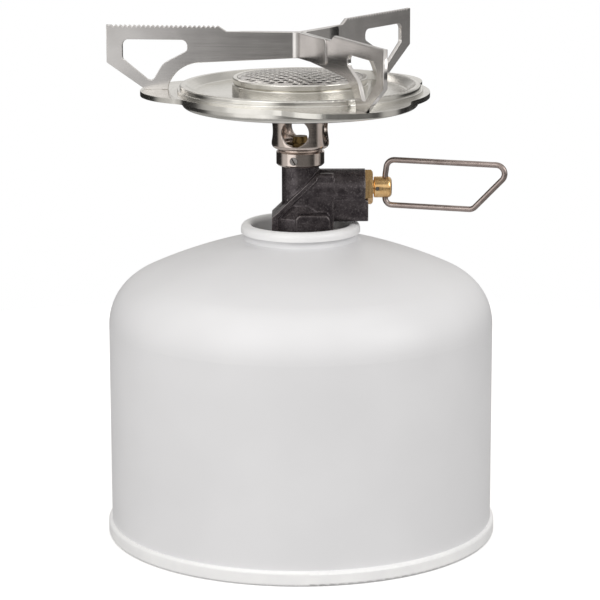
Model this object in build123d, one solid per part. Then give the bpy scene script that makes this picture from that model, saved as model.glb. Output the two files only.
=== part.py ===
from build123d import *
from math import cos, sin, tan, radians, sqrt, atan2
import os

# Camping stove screwed on a gas canister, in millimetres.
# Origin: on the canister's axis, in the plane that the canister stands on. +Z is up.
# +X runs along the flame valve, out towards the handle.

os.makedirs("parts", exist_ok=True)

# ---------------------------------------------------------------- fits and gaps
GAP = 0.05            # between round pieces fixed to each other
RUN = 0.08            # radial running clearance of a screw or pivot that turns
SEAL_GAP = 0.30       # round a soft ring, to the pieces it seals against
PUSH_GAP = 0.10       # between the actuator pin and the canister's valve stem

# ---------------------------------------------------------------- gas canister
CAN_R = 54.0          # outside of the drawn body
CAN_WALL = 0.7
SEAM_PROUD = 1.0      # how far the base seam stands out from the body
SEAM_H = 4.2
SEAM_W = 2.6
SEAM_ROUND = 0.9
BASE_RISE = 8.0       # height of the dished base above the ground
SHOULDER_Z = 60.5     # where the straight wall ends
SHOULDER_R = 15.0
SHOULDER_TURN = 65.0  # degrees that the shoulder turns before the dome takes over
NECK_R = 17.0         # where the dome meets the neck
NECK_Z = 84.0
NECK_WALL_R = 15.45   # outside of the neck's straight stretch
BEAD_R = 0.75         # rolled bead on the neck
CURL_R = 1.6          # outside of the valve cup's curl round that bead
CURL_RISE = 3.4       # centre of the curl above the top of the dome
CURL_MID_R = 15.1
CURL_SKIRT = 1.0      # how far the curl's outer lip hangs below its centre
CUP_WALL = 0.45
CUP_ROUND = 1.2       # inside corner of the cup's floor
CUP_DEPTH = 6.4       # from the centre of the curl to the underside of the cup's floor
NIPPLE_R = 5.555      # 7/16 inch thread, outside
NIPPLE_H = 7.05       # above the cup's floor
NIPPLE_BORE_R = 1.75
THREAD_LEAD = 0.5      # bevel at the thread's start
SPIGOT_R = 4.1        # the nipple's lower end, through the cup's floor
SPIGOT_H = 2.0        # below the cup's floor
HOUSING_R = 5.6
HOUSING_H = 13.0
CHAMBER_R = 3.4       # bore of the housing round the spring
HOUSING_FLOOR = 1.2
DIP_R = 0.8           # gas hole in the housing's floor
STEM_R = 1.5
STEM_TRAVEL = 0.95    # how far the stem rises when the stove is taken off
STEM_HEAD_R = 3.0
STEM_HEAD_H = 1.6
STEM_TAIL_H = 1.8     # guide below the head, inside the spring
STEM_TAIL_R = 1.4
STEM_BORE_R = 0.6
STEM_PORT_R = 0.5
STEM_TOP_DROP = 1.9   # top of the pressed stem below the top of the nipple
GASKET_H = 0.8
SPRING_R = 2.2        # middle of the spring's wire
SPRING_WIRE_R = 0.3
SPRING_TURNS = 6

# ---------------------------------------------------------------- valve body
INSERT_R = 7.0        # brass thread insert
INSERT_LIP_R = 7.6
INSERT_LIP_H = 1.4
INSERT_LIFT = 0.55    # insert's lower end above the cup's floor
SKIRT_R = 8.0
SKIRT_H = 7.6         # straight part of the skirt above the insert's lip
NECK_CONE_H = 3.4     # slope between skirt and stem
POST_R = 5.2          # upright post over the skirt
POST_H = 10.9
RING_ROOM = 0.35      # face seal above the nipple
SEAL_R = 4.4          # face seal ring, to the middle of its section
SEAL_SECTION_R = 0.8
INLET_R = 5.6         # recess over the face seal
PIN_R = 0.95          # actuator pin
PIN_SEAT = 2.3        # how deep the pin sits in the body
FILTER_IN_R = 1.2
FILTER_R = 3.2
FILTER_H = 0.7
PASSAGE_R = 0.7       # drilled gas passages
PASSAGE_IN_X = -2.4
PASSAGE_OUT_X = 1.7
VALVE_RISE = 4.5      # valve's axis above the top of the neck cone
BOSS_R = 5.2          # round boss along the valve's axis
BOSS_X = 18.07        # its end face
BLOCK_X = 18.9        # end of the lug under the boss
BLOCK_HALF = 4.3      # half its width
BLOCK_CLEAR = 0.75    # lug above the top of the canister's curl
SHIELD_HALF = 4.8     # half the width of the web between post, skirt and boss
SHIELD_X = 9.2
RIB_HALF = 5.9        # half the width across the sloping ribs
RIB_W = 1.9
RIB_TOP_X = 4.6
RIB_TOP_DROP = 1.9
RIB_FOOT = 0.2        # rib's lower end above the skirt
RIB_TRIM = 0.2        # round that trims the rib's corners, beyond its half width
PAD_MID_X = 3.4       # raised pads on the skirt, front and back
PAD_W = 9.6
PAD_H = 8.6
PAD_UP = 0.4          # pad's lower edge above the end of the skirt
PAD_PROUD = 0.5
PAD_ROUND = 1.6
LUG_ROUND = 1.2
SPOUT_R = 4.0         # spigot on the post, that the jet screws into
SPOUT_H = 3.3

# ---------------------------------------------------------------- flame valve, along +X
BORE_R = 3.0
BORE_X = -1.0         # bottom of the bore
BACK_R = 0.9          # space behind the seat
BACK_L = 2.3
SEAT_L = 2.0
ORIFICE_R = 0.7
ENTRY_L = 0.4         # bevelled entry of the seat
TIP_R = 0.6           # needle in the seat
TIP_BEVEL = 0.2
TIP_BACK = 0.5        # needle's end behind the middle of the seat
CONE_L = 1.6          # needle's taper
SHAFT_R = 1.95
THREAD_L = 6.0
THREAD_X = 2.6
UNDERCUT_R = 1.7
UNDERCUT_L = 0.6
COLLAR_L = 0.6
GROOVE_L = 1.6
RING_BORE_GAP = 0.15  # ring and collars, to the wall of the bore
WASHER_L = 0.5
GLAND_FLATS = 8.5     # brass hexagon, across flats
GLAND_HEX_L = 2.13
GLAND_BEVEL = 0.5     # chamfer on the hexagon's outer corners
GLAND_NECK_L = 3.87
HUB_R = 2.95
HUB_GAP = 0.3         # hub off the hexagon when the valve is shut
HUB_L = 5.0
HUB_SOCKET = 1.9
HUB_ROUND = 1.2
HUB_EDGE = 0.3        # round at the hub's inner end
HUB_PIN_R = 0.5
HUB_PIN_X = 0.95      # from the hub's inner face
HUB_PIN_SUNK = 0.2    # pin's ends below the hub's surface
WIRE_R = 0.8
PIVOT_IN = 1.8        # pivot from the hub's outer end
WIRE_IN = 1.2         # wire's ends from the middle of the hub
LOOP_STAND = 0.5      # straight stretch of the wire outside the hub
LOOP_UP = 7.8         # upper leg above the hub's axis
LOOP_DOWN = 5.0       # lower leg below it
LOOP_LEAN = 0.6       # how far the riser leans out
LOOP_TOP = 37.4       # upper leg's reach from the pivot, to the corner's point
LOOP_LOW = 25.2       # lower leg's reach
LOOP_BEND = 2.4
LOOP_HUB_BEND = 1.95  # bends beside the hub
LOOP_REST_FOLD = 18.0 # degrees that the loop stands folded towards -Y

# ---------------------------------------------------------------- jet, ring and mixing tube
JET_R = 2.5
JET_DEPTH = 2.1       # jet's thread below the foot of the spout
JET_ROOM = 0.4        # gas space under the jet
JET_FLATS = 6.2
JET_HEX_L = 3.0
JET_NOSE_R = 2.4
JET_NOSE_L = 1.8
JET_NOSE_IN = 0.5     # how much narrower the nose ends
JET_FACE = 0.6        # wall that the orifice goes through
JET_BORE_R = 0.9
JET_ORIFICE_R = 0.16
RING_R = 6.7
RING_H = 4.3
RING_LIP_H = 0.6
RING_LIP_R = 4.6
RING_BEVEL = 0.5
TUBE_NECK_R = 5.4
TUBE_GAP = 0.5        # dark gap between ring and tube
TUBE_R = 8.0
TUBE_WALL = 0.8
TUBE_FLOOR = 1.2
TUBE_ROUND = 1.3
TUBE_H = 11.7         # from the tube's underside to the bowl's underside
TUBE_FLARE_R = 9.6
FLARE_H = 0.6
FLARE_ROUND = 0.54
FLARE_MOUTH_ROUND = 0.5
AIR_R = 3.9           # four air holes
AIR_UP = 5.1          # their centre above the tube's underside
AIR_TURN = -102.0     # degrees from +X of the first one
SCREW_R = 1.1
SCREW_UP = 1.9
SCREW_TURN = -106.5
SCREW_SLOT = 0.4
SCREW_SLOT_DEPTH = 0.6
SCREW_SLOT_TURN = 30.0
SCREW_PROUD = 0.1     # screw's end beyond the ring

# ---------------------------------------------------------------- burner
BOWL_R = 32.9
BOWL_H = 2.8
BOWL_SHEET = 0.6
BOWL_ROUND = 1.4
PLATE_R = 36.0
PLATE_T = 1.4
EAR_R = 20.0
EAR_OUT = 24.7        # centre of an ear's round from the axis
EAR_BLEND = 7.0
RIM_R = 33.4
RIM_H = 2.06          # above the flange
RIM_W = 1.5
RIM_STEP_R = 34.1
RIM_STEP_H = 0.8
RIM_SLOPE = 2.5
RIM_ROUND = 0.5
RIM_STEP_ROUND = 0.3
RIM_FOOT_ROUND = 1.0
FLOOR_H = 0.1         # pan floor above the flange
CUP_R = 18.9
CUP_RING_WALL = 1.6
CUP_LOW_H = 2.3
CUP_GROOVE = 0.65
CUP_GROOVE_BEVEL = 0.25
CUP_GROOVE_ROUND = 0.2
CUP_RIM_OUT_ROUND = 0.3
CUP_RIM_IN_ROUND = 0.15
CUP_TOP_R = 18.7
CUP_TOP_H = 4.0
CUP_SEAT_W = 1.25     # rim round the mesh
LEDGE_DROP = 0.6
LEDGE_W = 1.05
LEDGE_H = 0.6
MESH_CROWN = 1.2
MESH_T = 0.6
MESH_LAND = 0.4       # flat edge of the mesh under the cup's rim
MESH_LAND_IN = 0.9    # and on its underside
MESH_PROUD = 0.05     # dome's foot above the cup's rim
BAFFLE_T = 0.6
BAFFLE_LAP = 0.9      # baffle over the floor round the throat
BAFFLE_CLEAR = 0.4    # baffle to the inside of the cup's ring
BAFFLE_HOLE_R = 1.2
BAFFLE_RINGS = ((6, 6.0), (12, 11.5))   # how many holes, at what radius

# ---------------------------------------------------------------- pot support
ARM_TURN = 173.5      # degrees from +X of the first arm
ARM_T = 1.2
ARM_R = 54.1          # outer end
ARM_RISE = 17.9       # pot rest above the burner plate
ARM_END_H = 10.5      # height of the outer end face
FOOT_IN_R = 36.9
FOOT_OUT_R = 43.3
TAB_IN_R = 38.6       # tab through the ear
TAB_OUT_R = 41.7
TAB_DEPTH = 1.8
TAB_CLEAR = 0.1
BRIDGE_TOP = 16.4     # inner, lower stretch of the top edge above the plate
BRIDGE_LOW = 9.3      # its underside at the middle
BRIDGE_SLOPE_END = (28.0, 7.65)
ARCH_MID = (33.9, 5.35)
ARCH_END = (36.7, 1.4)
STEP_IN_R = 21.3
STEP_OUT_R = 22.8
TOOTH_PITCH = 1.4
TOOTH_W = 1.0
TOOTH_DEPTH = 0.5
TOOTH_LAND = 1.5      # plain stretch at the outer end
BEND_R = 2.2          # outside of the bend at the middle
LEAF_R = 18.0         # end of the bent leaf that lies on the next arm
LEAF_ROUND = 1.2
WINDOW_TOP_R0, WINDOW_TOP_R1 = 31.4, 49.6
WINDOW_TOP = 13.95
WINDOW_SIDE = 8.5
WINDOW_LOW = (41.5, 1.95)
WINDOW_KNEE = (38.3, 7.3)
WINDOW_IN = 10.95
WINDOW_ROUNDS = {0: 1.3, 1: 1.6, 2: 0.9, 3: 0.9, 4: 4.0, 5: 0.9}

# ---------------------------------------------------------------- sizes and levels that follow
COLLAR_R = BORE_R - RING_BORE_GAP
RING_SECTION_R = (COLLAR_R - UNDERCUT_R - GAP) / 2
BAFFLE_R = CUP_R - CUP_RING_WALL - BAFFLE_CLEAR
THROAT_R = BAFFLE_R - BAFFLE_LAP
Z_CURL = NECK_Z + CURL_RISE
Z_CUP_UNDER = Z_CURL - CUP_DEPTH
Z_CUP_FLOOR = Z_CUP_UNDER + CUP_WALL
Z_NIPPLE = Z_CUP_FLOOR + NIPPLE_H
Z_SPIGOT = Z_CUP_UNDER - SPIGOT_H
Z_HOUSING = Z_CUP_UNDER - HOUSING_H
Z_CHAMBER = Z_HOUSING + HOUSING_FLOOR
Z_HEAD_TOP = Z_SPIGOT - GASKET_H - GAP - STEM_TRAVEL
Z_HEAD = Z_HEAD_TOP - STEM_HEAD_H
Z_STEM_TOP = Z_NIPPLE - STEM_TOP_DROP
Z_INSERT = Z_CUP_FLOOR + INSERT_LIFT
Z_SKIRT = Z_INSERT + INSERT_LIP_H
Z_CONE = Z_SKIRT + SKIRT_H
Z_POST = Z_CONE + NECK_CONE_H
Z_POST_TOP = Z_POST + POST_H
Z_SEAL = Z_NIPPLE + RING_ROOM + SEAL_SECTION_R
Z_INSERT_TOP = Z_NIPPLE + GAP * 2
Z_INLET_TOP = Z_SEAL + SEAL_SECTION_R + SEAL_GAP
Z_VALVE = Z_POST + VALVE_RISE
Z_BLOCK = Z_CURL + CURL_R + BLOCK_CLEAR
Z_SPOUT_TOP = Z_POST_TOP + SPOUT_H
Z_JET = Z_POST_TOP - JET_DEPTH
Z_RING_TOP = Z_POST_TOP + RING_H
Z_TUBE = Z_RING_TOP + TUBE_GAP
Z_BOWL = Z_TUBE + TUBE_H
Z_BOWL_FLOOR = Z_BOWL + BOWL_SHEET
Z_PLATE_UNDER = Z_BOWL + BOWL_H
Z_PLATE = Z_PLATE_UNDER + PLATE_T
Z_FLOOR = Z_PLATE + FLOOR_H
Z_CUP_TOP = Z_FLOOR + CUP_TOP_H
Z_LEDGE = Z_CUP_TOP - LEDGE_DROP
X_SEAT = BORE_X + SEAT_L
X_UNDERCUT = THREAD_X + THREAD_L
X_GROOVE = X_UNDERCUT + UNDERCUT_L + COLLAR_L
X_RING = X_GROOVE + GROOVE_L / 2
X_SHAFT = X_GROOVE + GROOVE_L + COLLAR_L
X_GLAND = BOSS_X - GLAND_NECK_L
X_HUB = BOSS_X + GLAND_HEX_L + HUB_GAP
X_SPINDLE_END = X_HUB + HUB_SOCKET
X_PIVOT = X_HUB + HUB_L - PIVOT_IN
VALVE_AXIS = Axis((0, 0, Z_VALVE), (1, 0, 0))


# ---------------------------------------------------------------- drawing helpers
def outline(*steps):
    """Closed flat outline. A step is a point, or an arc given as (point on it, end point)."""
    edges, here = [], steps[0]
    for step in steps[1:] + (steps[0],):
        if isinstance(step[0], tuple):
            edges.append(ThreePointArc(here, step[0], step[1]))
            here = step[1]
        elif abs(step[0] - here[0]) + abs(step[1] - here[1]) > 1e-9:
            edges.append(Line(here, step))
            here = step
    return make_face(edges).face()


def softened(points, rounds):
    """Outline through points with the numbered corners rounded to the given radii."""
    face = outline(*points)
    for number, radius in rounds.items():
        x, y = points[number]
        face = face.fillet_2d(radius, face.vertices().sort_by_distance((x, y, 0))[:1])
    return face


def cap_point(edge, crown):
    """Point halfway out on a ball-shaped cap, from its edge and its crown on the axis."""
    sag = crown[1] - edge[1]
    ball = (edge[0] ** 2 + sag**2) / (2 * sag)
    return (edge[0] / 2, crown[1] - ball + sqrt(ball**2 - edge[0] ** 2 / 4))


def turned(face):
    """Solid of revolution about Z from an outline in radius and height."""
    return revolve(Plane.XZ * face, Axis.Z)


def spun(face):
    """Solid of revolution about the valve's axis, from an outline in X and radius."""
    return revolve(Pos(0, 0, Z_VALVE) * (Plane.XZ * face), VALVE_AXIS)


def rod(radius, z0, z1, x=0.0, y=0.0):
    """Upright round bar or drill between two heights."""
    return Pos(x, y, (z0 + z1) / 2) * Cylinder(radius, z1 - z0)


def lying(radius, x0, x1):
    """Round bar or drill on the valve's axis."""
    return Pos((x0 + x1) / 2, 0, Z_VALVE) * Rot(0, 90, 0) * Cylinder(radius, x1 - x0)


def hexagon(flats):
    """Hexagon with two corners on the first axis."""
    return RegularPolygon(flats / 2, 6, major_radius=False)


def save(name, solid):
    """Write one node."""
    solid.label = name
    export_step(solid, f"parts/{name}.step")


# ---------------------------------------------------------------- gas canister
def dome_line(inset):
    """Points of the shoulder and the dome, moved inwards by inset."""
    turn = radians(SHOULDER_TURN)
    middle = (CAN_R - SHOULDER_R, SHOULDER_Z)
    inward = (-cos(turn), -sin(turn))
    start = (middle[0] - SHOULDER_R * inward[0], middle[1] - SHOULDER_R * inward[1])
    run = (NECK_R - start[0], NECK_Z - start[1])
    dome_r = (run[0] ** 2 + run[1] ** 2) / (2 * (run[0] * inward[0] + run[1] * inward[1]))
    centre = (start[0] + dome_r * inward[0], start[1] + dome_r * inward[1])

    def on(around, radius, angle):
        return (around[0] + radius * cos(angle), around[1] + radius * sin(angle))

    last = atan2(NECK_Z - centre[1], NECK_R - centre[0])
    small, large = SHOULDER_R - inset, dome_r - inset
    return [
        (CAN_R - inset, SHOULDER_Z),
        on(middle, small, turn / 2), on(middle, small, turn),
        on(centre, large, (turn + last) / 2), on(centre, large, last),
    ]


def canister_shell():
    side, shoulder, crest, dome, top = dome_line(0)
    side_in, shoulder_in, crest_in, dome_in, top_in = dome_line(CAN_WALL)
    half = CAN_WALL / 2
    neck_in = NECK_WALL_R - CAN_WALL
    bead_foot = Z_CURL - sqrt(BEAD_R**2 - half**2)
    bend = NECK_R - NECK_WALL_R
    return turned(outline(
        (CAN_R, SEAM_H), side, (shoulder, crest), (dome, top),
        (NECK_R - bend * 0.65, NECK_Z + bend * 0.3), (NECK_WALL_R, NECK_Z + bend * 0.9),
        (NECK_WALL_R, bead_foot), ((CURL_MID_R, Z_CURL + BEAD_R), (neck_in, bead_foot)),
        (neck_in, NECK_Z + bend * 0.55), (NECK_R - bend * 1.05, NECK_Z - bend * 0.05),
        top_in, (dome_in, crest_in), (shoulder_in, side_in), (CAN_R - CAN_WALL, SEAM_H),
    ))


def canister_base():
    out, inn, round_r = CAN_R + SEAM_PROUD, CAN_R + SEAM_PROUD - SEAM_W, SEAM_ROUND
    cut = round_r * (1 - sqrt(0.5))
    low, high = (inn, SEAM_H - CAN_WALL), (inn, SEAM_H)
    crown_low, crown_high = (0, BASE_RISE - CAN_WALL), (0, BASE_RISE)
    return turned(outline(
        crown_low, (cap_point(low, crown_low), low),
        (inn, round_r), ((inn + cut, cut), (inn + round_r, 0)), (out - round_r, 0),
        ((out - cut, cut), (out, round_r)), (out, SEAM_H - round_r),
        ((out - cut, SEAM_H - cut), (out - round_r, SEAM_H)), high,
        (cap_point(high, crown_high), crown_high),
    ))


def valve_cup():
    r, wall, lip = CURL_R, CUP_WALL, Z_CURL - CURL_SKIRT
    inner, hole = CURL_MID_R - CURL_R, SPIGOT_R + GAP * 2
    curl = outline(
        (CURL_MID_R + r, lip), (CURL_MID_R + r, Z_CURL),
        ((CURL_MID_R, Z_CURL + r), (inner, Z_CURL)), (inner, Z_CURL - CURL_SKIRT),
        (inner + wall, Z_CURL - CURL_SKIRT), (inner + wall, Z_CURL),
        ((CURL_MID_R, Z_CURL + r - wall), (CURL_MID_R + r - wall, Z_CURL)),
        (CURL_MID_R + r - wall, lip),
    )
    pan = softened(
        [(inner, lip), (inner, Z_CUP_FLOOR), (hole, Z_CUP_FLOOR), (hole, Z_CUP_UNDER),
         (inner + wall, Z_CUP_UNDER), (inner + wall, lip)],
        {1: CUP_ROUND, 4: CUP_ROUND + wall},
    )
    return turned(curl) + turned(pan)


def cup_gasket():
    big, small = CURL_R - CUP_WALL - GAP, BEAD_R + GAP
    return turned(outline(
        (CURL_MID_R + big, Z_CURL), ((CURL_MID_R, Z_CURL + big), (CURL_MID_R - big, Z_CURL)),
        (CURL_MID_R - small, Z_CURL), ((CURL_MID_R, Z_CURL + small), (CURL_MID_R + small, Z_CURL)),
    ))


def thread_nipple():
    return turned(outline(
        (NIPPLE_BORE_R, Z_SPIGOT), (SPIGOT_R, Z_SPIGOT), (SPIGOT_R, Z_CUP_FLOOR),
        (NIPPLE_R, Z_CUP_FLOOR), (NIPPLE_R, Z_NIPPLE - THREAD_LEAD), (NIPPLE_R - THREAD_LEAD, Z_NIPPLE),
        (NIPPLE_BORE_R, Z_NIPPLE),
    ))


def valve_housing():
    return turned(outline(
        (DIP_R, Z_HOUSING), (HOUSING_R, Z_HOUSING), (HOUSING_R, Z_CUP_UNDER),
        (SPIGOT_R + GAP, Z_CUP_UNDER), (SPIGOT_R + GAP, Z_SPIGOT), (CHAMBER_R, Z_SPIGOT),
        (CHAMBER_R, Z_CHAMBER), (DIP_R, Z_CHAMBER),
    ))


def stem_gasket():
    low = Z_SPIGOT - GASKET_H
    return turned(outline(
        (NIPPLE_BORE_R, low), (CHAMBER_R - GAP, low), (CHAMBER_R - GAP, Z_SPIGOT), (NIPPLE_BORE_R, Z_SPIGOT)
    ))


def valve_stem():
    stem = turned(outline(
        (0, Z_HEAD - STEM_TAIL_H), (STEM_TAIL_R, Z_HEAD - STEM_TAIL_H), (STEM_TAIL_R, Z_HEAD),
        (STEM_HEAD_R, Z_HEAD), (STEM_HEAD_R, Z_HEAD_TOP), (STEM_R, Z_HEAD_TOP), (STEM_R, Z_STEM_TOP), (0, Z_STEM_TOP),
    ))
    port_z = Z_HEAD_TOP + 2 * STEM_PORT_R
    stem -= rod(STEM_BORE_R, port_z, Z_STEM_TOP + 1)
    return stem - Pos(0, 0, port_z) * Rot(90, 0, 0) * Cylinder(STEM_PORT_R, STEM_R * 3)


def valve_spring():
    low = Z_CHAMBER + SPRING_WIRE_R + GAP
    height = Z_HEAD - SPRING_WIRE_R - GAP - low
    line = Pos(0, 0, low) * Helix(height / SPRING_TURNS, height, SPRING_R)
    start = Plane(origin=line @ 0, z_dir=line % 0)
    return sweep(start * Circle(SPRING_WIRE_R), path=line, is_frenet=True)


# ---------------------------------------------------------------- valve body
def web(half, left_x, right_x):
    """Upright web whose left edge slopes up towards the valve, held inside a round over the boss."""
    top = Z_POST_TOP - RIB_TOP_DROP
    foot = Z_CONE + RIB_FOOT
    face = outline(
        (left_x - RIB_TOP_X - SKIRT_R, foot), (left_x, top), (right_x, top), (right_x, Z_SKIRT),
        (left_x - RIB_TOP_X - SKIRT_R, Z_SKIRT),
    )
    slab = extrude(Plane.XZ * face, half, both=True)
    below = Pos(0, 0, Z_VALVE - BOSS_X) * Box(4 * BOSS_X, 4 * BOSS_X, 2 * BOSS_X)
    return slab & (below + lying(RIB_HALF + RIB_TRIM, -2 * BOSS_X, 2 * BOSS_X))


def rib():
    """Rib along the web's sloping edge, front and back."""
    return web(RIB_HALF, RIB_TOP_X, RIB_TOP_X + 0.1) - Pos(RIB_W, 0, 0) * web(
        2 * RIB_HALF, RIB_TOP_X, RIB_TOP_X + 0.1
    )


def pad(side):
    """Raised rectangle on the skirt, side -1 to the front and +1 to the back."""
    face = Pos(PAD_MID_X, Z_SKIRT + PAD_UP + PAD_H / 2) * RectangleRounded(PAD_W, PAD_H, PAD_ROUND)
    block = extrude(Plane.XZ * face, -side * (SKIRT_R + PAD_PROUD))
    edges = block.faces().sort_by(Axis.Y)[0 if side < 0 else -1].edges()
    return fillet(edges, PAD_PROUD)


def valve_body():
    body = rod(SKIRT_R, Z_SKIRT, Z_CONE)
    body += turned(outline((0, Z_CONE), (SKIRT_R, Z_CONE), (POST_R, Z_POST), (0, Z_POST)))
    body += rod(POST_R, Z_POST, Z_POST_TOP)
    body += lying(BOSS_R, 0, BOSS_X)
    lug = Pos(BLOCK_X / 2, 0, (Z_BLOCK + Z_VALVE) / 2) * Box(BLOCK_X, 2 * BLOCK_HALF, Z_VALVE - Z_BLOCK)
    body += fillet(lug.edges().filter_by(Axis.X).sort_by(Axis.Z)[:2], LUG_ROUND)
    body += web(SHIELD_HALF, RIB_TOP_X, SHIELD_X)
    body += rib()
    body += pad(-1) + pad(1)
    body += rod(SPOUT_R, Z_POST_TOP, Z_SPOUT_TOP)
    # bores, each drilled from outside
    body -= rod(INSERT_R + GAP, Z_SKIRT - 1, Z_INSERT_TOP)
    body -= rod(INLET_R, Z_INSERT_TOP - 0.5, Z_INLET_TOP)
    body -= rod(PIN_R + GAP, Z_INLET_TOP - 0.5, Z_INLET_TOP + PIN_SEAT)
    body -= rod(PASSAGE_R, Z_INLET_TOP - 0.5, Z_VALVE, x=PASSAGE_IN_X)
    body -= lying(BORE_R, BORE_X, BLOCK_X + 5)
    body -= lying(BACK_R, BORE_X - BACK_L, BORE_X + 1)
    body -= rod(PASSAGE_R, Z_VALVE, Z_JET, x=PASSAGE_OUT_X)
    body -= rod(JET_R + GAP, Z_JET - JET_ROOM, Z_SPOUT_TOP + 1)
    # room for the gland's hexagon over the lug
    corner = GLAND_FLATS / sqrt(3) + SEAL_GAP
    return body - lying(corner, BOSS_X, BLOCK_X + 1)


def thread_insert():
    bore = NIPPLE_R + RUN
    return turned(outline(
        (bore, Z_INSERT), (INSERT_LIP_R, Z_INSERT), (INSERT_LIP_R, Z_SKIRT), (INSERT_R, Z_SKIRT),
        (INSERT_R, Z_INSERT_TOP), (bore, Z_INSERT_TOP),
    ))


def face_seal():
    return Pos(0, 0, Z_SEAL) * Torus(SEAL_R, SEAL_SECTION_R)


def actuator_pin():
    return rod(PIN_R, Z_STEM_TOP + PUSH_GAP, Z_INLET_TOP + PIN_SEAT)


def gas_filter():
    low = Z_INLET_TOP - FILTER_H
    return turned(outline((FILTER_IN_R, low), (FILTER_R, low), (FILTER_R, Z_INLET_TOP), (FILTER_IN_R, Z_INLET_TOP)))


# ---------------------------------------------------------------- flame valve
def valve_seat():
    return spun(outline(
        (BORE_X, ORIFICE_R), (X_SEAT - ENTRY_L, ORIFICE_R),
        (X_SEAT, ORIFICE_R + ENTRY_L * (SHAFT_R - TIP_R) / CONE_L),
        (X_SEAT, BORE_R - GAP), (BORE_X, BORE_R - GAP),
    ))


def spindle():
    cone = X_SEAT - ENTRY_L
    collar = X_UNDERCUT + UNDERCUT_L
    bar = spun(outline(
        (-TIP_BACK, 0), (-TIP_BACK, TIP_R - TIP_BEVEL), (-TIP_BACK + TIP_BEVEL, TIP_R), (cone, TIP_R),
        (cone + CONE_L, SHAFT_R), (THREAD_X, SHAFT_R), (THREAD_X, BORE_R - RUN),
        (X_UNDERCUT, BORE_R - RUN), (X_UNDERCUT, UNDERCUT_R), (collar, UNDERCUT_R),
        (collar, COLLAR_R), (X_GROOVE, COLLAR_R), (X_GROOVE, UNDERCUT_R),
        (X_GROOVE + GROOVE_L, UNDERCUT_R), (X_GROOVE + GROOVE_L, COLLAR_R),
        (X_SHAFT, COLLAR_R), (X_SHAFT, SHAFT_R), (X_SPINDLE_END, SHAFT_R), (X_SPINDLE_END, 0),
    ))
    return bar - pin_hole()


def spindle_ring():
    middle = UNDERCUT_R + GAP + RING_SECTION_R
    return Pos(X_RING, 0, Z_VALVE) * Rot(0, 90, 0) * Torus(middle, RING_SECTION_R)


def gland_washer():
    return spun(outline(
        (X_GLAND - WASHER_L, SHAFT_R + RUN), (X_GLAND - WASHER_L, BORE_R - GAP),
        (X_GLAND, BORE_R - GAP), (X_GLAND, SHAFT_R + RUN),
    ))


def gland_nut():
    head = Pos(BOSS_X, 0, Z_VALVE) * Rot(0, 90, 0) * extrude(hexagon(GLAND_FLATS), GLAND_HEX_L)
    cone = spun(outline(
        (BOSS_X, 0), (BOSS_X, GLAND_FLATS), (BOSS_X + GLAND_HEX_L - GLAND_BEVEL, GLAND_FLATS / sqrt(3)),
        (BOSS_X + GLAND_HEX_L, GLAND_FLATS / 2), (BOSS_X + GLAND_HEX_L, 0),
    ))
    nut = (head & cone) + lying(BORE_R - GAP, X_GLAND, BOSS_X + 0.2)
    return nut - lying(SHAFT_R + RUN, X_GLAND - 1, X_HUB + 1)


def pin_hole():
    """Drill for the cross pin through hub and spindle."""
    return Pos(X_HUB + HUB_PIN_X, 0, Z_VALVE) * Rot(90, 0, 0) * Cylinder(HUB_PIN_R + GAP, 4 * HUB_R)


def hub():
    ball = spun(softened(
        [(X_HUB, 0), (X_HUB, HUB_R), (X_HUB + HUB_L, HUB_R), (X_HUB + HUB_L, 0)], {1: HUB_EDGE, 2: HUB_ROUND}
    ))
    ball -= lying(SHAFT_R + GAP, X_HUB - 1, X_SPINDLE_END)
    ball -= rod(WIRE_R + RUN, Z_VALVE - 2 * HUB_R, Z_VALVE + 2 * HUB_R, x=X_PIVOT)
    return ball - pin_hole()


def hub_pin():
    return Pos(X_HUB + HUB_PIN_X, 0, Z_VALVE) * Rot(90, 0, 0) * Cylinder(HUB_PIN_R, 2 * (HUB_R - HUB_PIN_SUNK))


def wire_handle():
    points = [
        (0, WIRE_IN), (0, HUB_R + LOOP_STAND), (LOOP_LEAN, LOOP_UP), (LOOP_TOP, LOOP_UP),
        (LOOP_LOW, -LOOP_DOWN), (0, -LOOP_DOWN), (0, -WIRE_IN),
    ]
    bends = [LOOP_BEND, LOOP_BEND, LOOP_BEND, LOOP_BEND, LOOP_HUB_BEND]
    line = FilletPolyline(*points, radius=bends)
    path = Plane.XZ * line
    start = Plane(origin=path @ 0, z_dir=path % 0)
    wire = sweep(start * Circle(WIRE_R), path=path)
    return Pos(X_PIVOT, 0, Z_VALVE) * Rot(0, 0, -LOOP_REST_FOLD) * wire


# ---------------------------------------------------------------- jet, ring and mixing tube
def jet():
    body = rod(JET_R, Z_JET, Z_SPOUT_TOP + 0.2)
    top = Z_SPOUT_TOP + JET_HEX_L
    body += Pos(0, 0, Z_SPOUT_TOP) * extrude(hexagon(JET_FLATS), JET_HEX_L)
    tip = top + JET_NOSE_L
    body += turned(outline((0, top), (JET_NOSE_R, top), (JET_NOSE_R - JET_NOSE_IN, tip), (0, tip)))
    body -= rod(JET_BORE_R, Z_JET - 1, tip - JET_FACE)
    return body - rod(JET_ORIFICE_R, top, tip + 1)


def screw_drill(radius, inner, outer):
    """Round bar across the ring's wall at the set screw."""
    height = Z_POST_TOP + SCREW_UP
    return Pos(0, 0, height) * Rot(0, 0, SCREW_TURN) * Pos((inner + outer) / 2, 0, 0) * Rot(0, 90, 0) * Cylinder(
        radius, outer - inner
    )


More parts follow.
